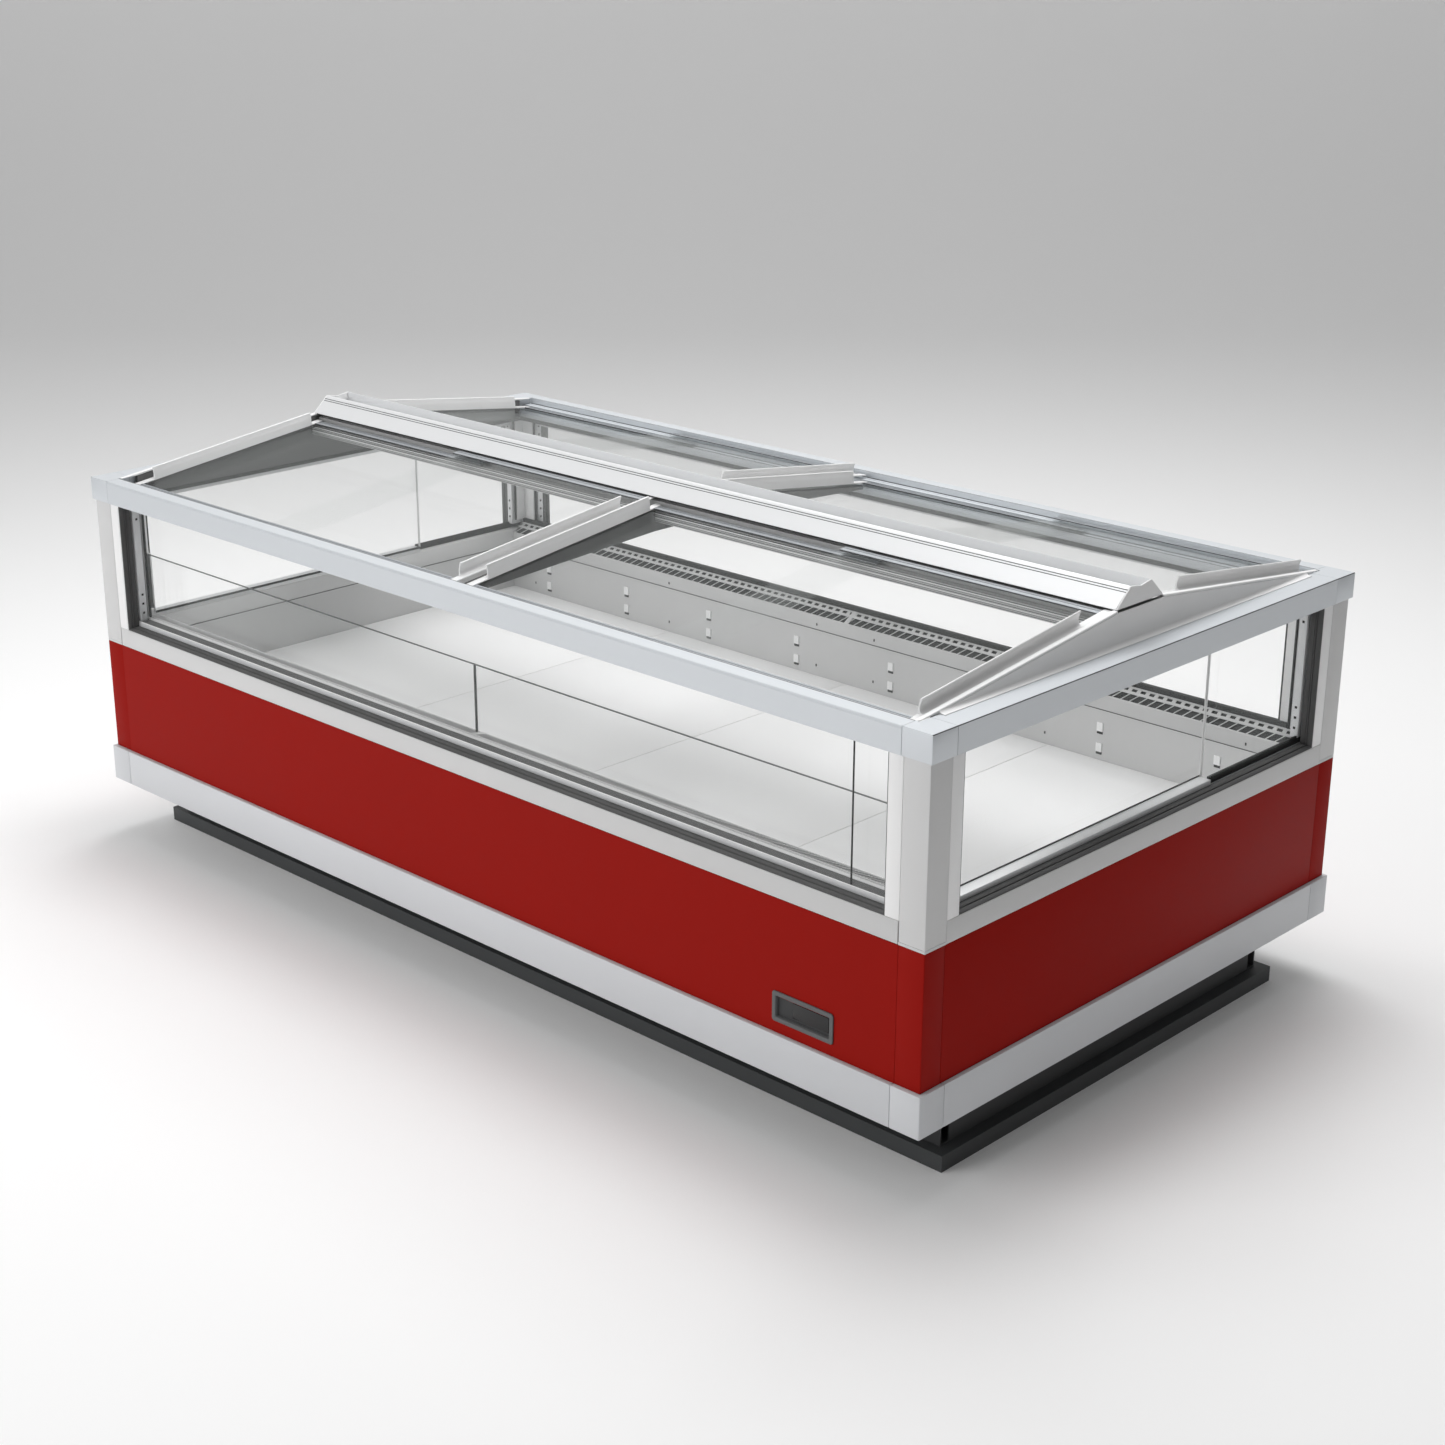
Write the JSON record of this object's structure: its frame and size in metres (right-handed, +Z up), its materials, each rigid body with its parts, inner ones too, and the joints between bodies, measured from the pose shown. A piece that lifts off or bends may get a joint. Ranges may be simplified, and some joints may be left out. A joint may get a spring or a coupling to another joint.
{
  "type": "chest freezer",
  "caption": "Island chest freezer with glazed sides, a white well and sliding glass lids under a low ridge.",
  "frame": {"origin": "middle of the footprint, on the floor under the plinth", "axes": "+X along the length towards the end that is right of the display, -Y the display side, +Z up"},
  "size_m": [2.504, 1.3434, 0.9804],
  "materials": {
    "plinth_steel": "dark grey paint, matt",
    "kick_plastic": "dark grey, matt",
    "bumper_plastic": "light silver grey, satin",
    "red_skirt": "deep red powder coat, semi-gloss",
    "white_frame": "white powder coat, satin",
    "window_glass": "clear double glazing",
    "beam_aluminium": "satin anodised",
    "gable_grey": "mid grey, matt",
    "rafter_grey": "dark grey, matt",
    "ridge_aluminium": "satin anodised",
    "tub_white": "white liner, satin",
    "deck_white": "white, fine stucco",
    "grille_white": "white, satin",
    "display_frame": "dark grey moulding",
    "display_dark": "dark window",
    "coil_aluminium": "mill finish",
    "fan_steel": "zinc plated",
    "fan_plastic": "black moulding",
    "lid_glass": "clear tempered glass",
    "lid_handle_white": "white extruded profile"
  },
  "bodies": {
    "cabinet": {"base_tray": "plinth_steel", "kickboard_front": "kick_plastic", "kickboard_back": "kick_plastic", "kickboard_left": "kick_plastic", "kickboard_right": "kick_plastic", "bumper_front": "bumper_plastic", "bumper_back": "bumper_plastic", "bumper_left": "bumper_plastic", "bumper_right": "bumper_plastic", "panel_front": "red_skirt", "panel_back": "red_skirt", "panel_left": "red_skirt", "panel_right": "red_skirt", "sill_front": "white_frame", "sill_back": "white_frame", "sill_left": "white_frame", "sill_right": "white_frame", "post_front_left": "white_frame", "post_front_right": "white_frame", "post_back_left": "white_frame", "post_back_right": "white_frame", "glazing_front": "window_glass", "glazing_back": "window_glass", "glazing_left": "window_glass", "glazing_right": "window_glass", "riser_glass": "window_glass", "beam_front": "beam_aluminium", "beam_back": "beam_aluminium", "beam_left": "beam_aluminium", "beam_right": "beam_aluminium", "gable_left": "gable_grey", "gable_right": "gable_grey", "mid_rafter": "rafter_grey", "ridge_cap": "ridge_aluminium", "ridge_rail": "ridge_aluminium", "tub": "tub_white", "deck": "deck_white", "air_grille_front": "grille_white", "air_grille_back": "grille_white", "display_bezel": "display_frame", "display_window": "display_dark", "evaporator": "coil_aluminium", "fan_plate": "fan_steel"},
    "lid_front_1": {"lid_front_1_glass": "lid_glass", "lid_front_1_handle": "lid_handle_white"},
    "lid_front_2": {"lid_front_2_glass": "lid_glass", "lid_front_2_handle": "lid_handle_white"},
    "lid_front_3": {"lid_front_3_glass": "lid_glass", "lid_front_3_handle": "lid_handle_white"},
    "lid_front_4": {"lid_front_4_glass": "lid_glass", "lid_front_4_handle": "lid_handle_white"},
    "lid_back_1": {"lid_back_1_glass": "lid_glass", "lid_back_1_handle": "lid_handle_white"},
    "lid_back_2": {"lid_back_2_glass": "lid_glass", "lid_back_2_handle": "lid_handle_white"},
    "lid_back_3": {"lid_back_3_glass": "lid_glass", "lid_back_3_handle": "lid_handle_white"},
    "lid_back_4": {"lid_back_4_glass": "lid_glass", "lid_back_4_handle": "lid_handle_white"},
    "fan": {"fan_rotor": "fan_plastic"}
  },
  "joints": [
    {"name": "lid_front_1_slide", "type": "slide", "parent": "cabinet", "child": "lid_front_1", "axis": [1, 0, 0], "range_m": [0, 0.5]},
    {"name": "lid_front_2_slide", "type": "slide", "parent": "cabinet", "child": "lid_front_2", "axis": [1, 0, 0], "range_m": [-0.5, 0]},
    {"name": "lid_front_3_slide", "type": "slide", "parent": "cabinet", "child": "lid_front_3", "axis": [1, 0, 0], "range_m": [0, 0.5]},
    {"name": "lid_front_4_slide", "type": "slide", "parent": "cabinet", "child": "lid_front_4", "axis": [1, 0, 0], "range_m": [-0.5, 0]},
    {"name": "lid_back_1_slide", "type": "slide", "parent": "cabinet", "child": "lid_back_1", "axis": [1, 0, 0], "range_m": [0, 0.5]},
    {"name": "lid_back_2_slide", "type": "slide", "parent": "cabinet", "child": "lid_back_2", "axis": [1, 0, 0], "range_m": [-0.5, 0]},
    {"name": "lid_back_3_slide", "type": "slide", "parent": "cabinet", "child": "lid_back_3", "axis": [1, 0, 0], "range_m": [0, 0.5]},
    {"name": "lid_back_4_slide", "type": "slide", "parent": "cabinet", "child": "lid_back_4", "axis": [1, 0, 0], "range_m": [-0.5, 0]},
    {"name": "fan_spin", "type": "hinge", "parent": "cabinet", "child": "fan", "pos_m": [0.15, 0, 0.282], "axis": [1, 0, 0], "continuous": true}
  ]
}
